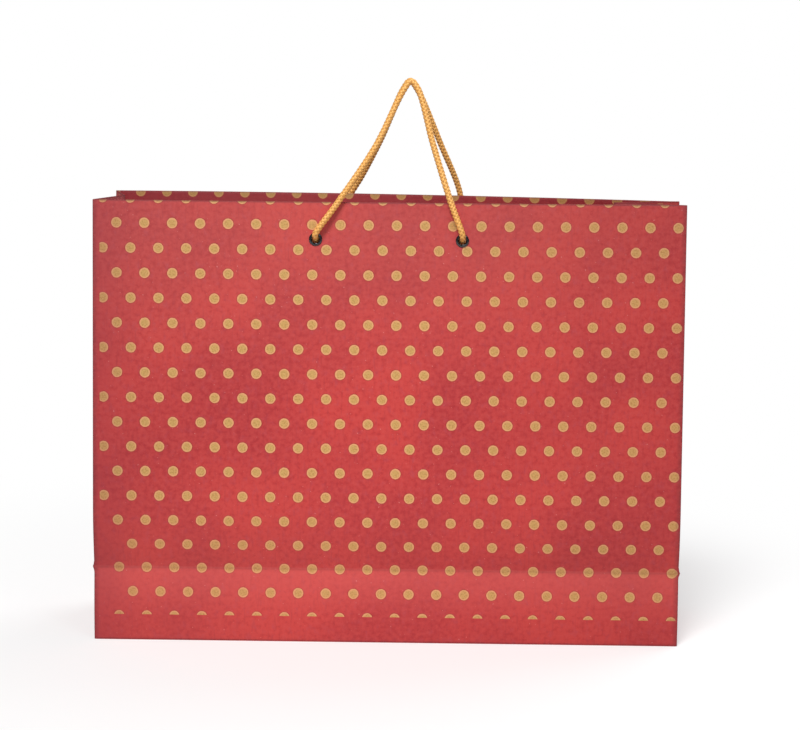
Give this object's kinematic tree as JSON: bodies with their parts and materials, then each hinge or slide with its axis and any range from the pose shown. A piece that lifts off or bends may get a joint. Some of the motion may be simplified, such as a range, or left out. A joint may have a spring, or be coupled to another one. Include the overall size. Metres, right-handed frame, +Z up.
{
  "type": "gift bag",
  "caption": "Landscape paper gift bag with V-folded sides, a turned-in rim, a polka-dot print and a pair of braided cord handles in metal eyelets.",
  "frame": {"origin": "middle of the underside of the bag's base, on the plane it stands on", "axes": "+X to the right along the front wall's width, +Y from the front wall to the back wall, +Z up"},
  "size_m": [0.406, 0.1186, 0.389],
  "materials": {
    "paper": "matt, lightly mottled, printed with gold dots",
    "board": "matt",
    "eyelet": "gloss black nickel",
    "cord": "braided, lightly glossy"
  },
  "bodies": {
    "base": {"base_front_flap": "paper", "base_back_flap": "paper", "base_left_flap": "paper", "base_right_flap": "paper", "front_skirt": "paper", "back_skirt": "paper", "left_gusset_foot": "paper", "right_gusset_foot": "paper", "left_gusset_front": "paper", "left_gusset_rear": "paper", "right_gusset_front": "paper", "right_gusset_rear": "paper", "left_gusset_front_hem": "paper", "left_gusset_rear_hem": "paper", "right_gusset_front_hem": "paper", "right_gusset_rear_hem": "paper"},
    "insert": {"base_insert": "board"},
    "front_wall": {"front_panel": "paper", "front_hem": "paper", "front_rim_card": "board", "front_left_eyelet": "eyelet", "front_left_washer": "eyelet", "front_cord_left_end": "cord", "front_right_eyelet": "eyelet", "front_right_washer": "eyelet", "front_cord_right_end": "cord", "side_seam_lap": "paper"},
    "back_wall": {"back_panel": "paper", "back_hem": "paper", "back_rim_card": "board", "back_left_eyelet": "eyelet", "back_left_washer": "eyelet", "back_cord_left_end": "cord", "back_right_eyelet": "eyelet", "back_right_washer": "eyelet", "back_cord_right_end": "cord"},
    "front_handle": {"front_cord": "cord"},
    "back_handle": {"back_cord": "cord"}
  },
  "joints": [
    {"name": "front_wall_lean", "type": "hinge", "parent": "base", "child": "front_wall", "pos_m": [0, -0.047, 0.051], "axis": [1, 0, 0], "range_deg": [-3.5, 0], "deforming": ["left_gusset_front", "right_gusset_front", "left_gusset_front_hem", "right_gusset_front_hem"]},
    {"name": "back_wall_lean", "type": "hinge", "parent": "base", "child": "back_wall", "pos_m": [0, 0.048, 0.051], "axis": [1, 0, 0], "range_deg": [0, 3.5], "deforming": ["left_gusset_rear", "right_gusset_rear", "left_gusset_rear_hem", "right_gusset_rear_hem"]},
    {"name": "front_handle_swing", "type": "hinge", "parent": "front_wall", "child": "front_handle", "pos_m": [0, -0.0404, 0.27978], "axis": [1, 0, 0], "range_deg": [0, 180]},
    {"name": "back_handle_swing", "type": "hinge", "parent": "back_wall", "child": "back_handle", "pos_m": [0.00044, 0.05565, 0.27933], "axis": [-0.9916, 0.1295, -0.0019], "range_deg": [0, 174]},
    {"name": "insert_lift", "type": "slide", "parent": "base", "child": "insert", "axis": [0, 0, 1], "range_m": [0, 0.005]}
  ]
}
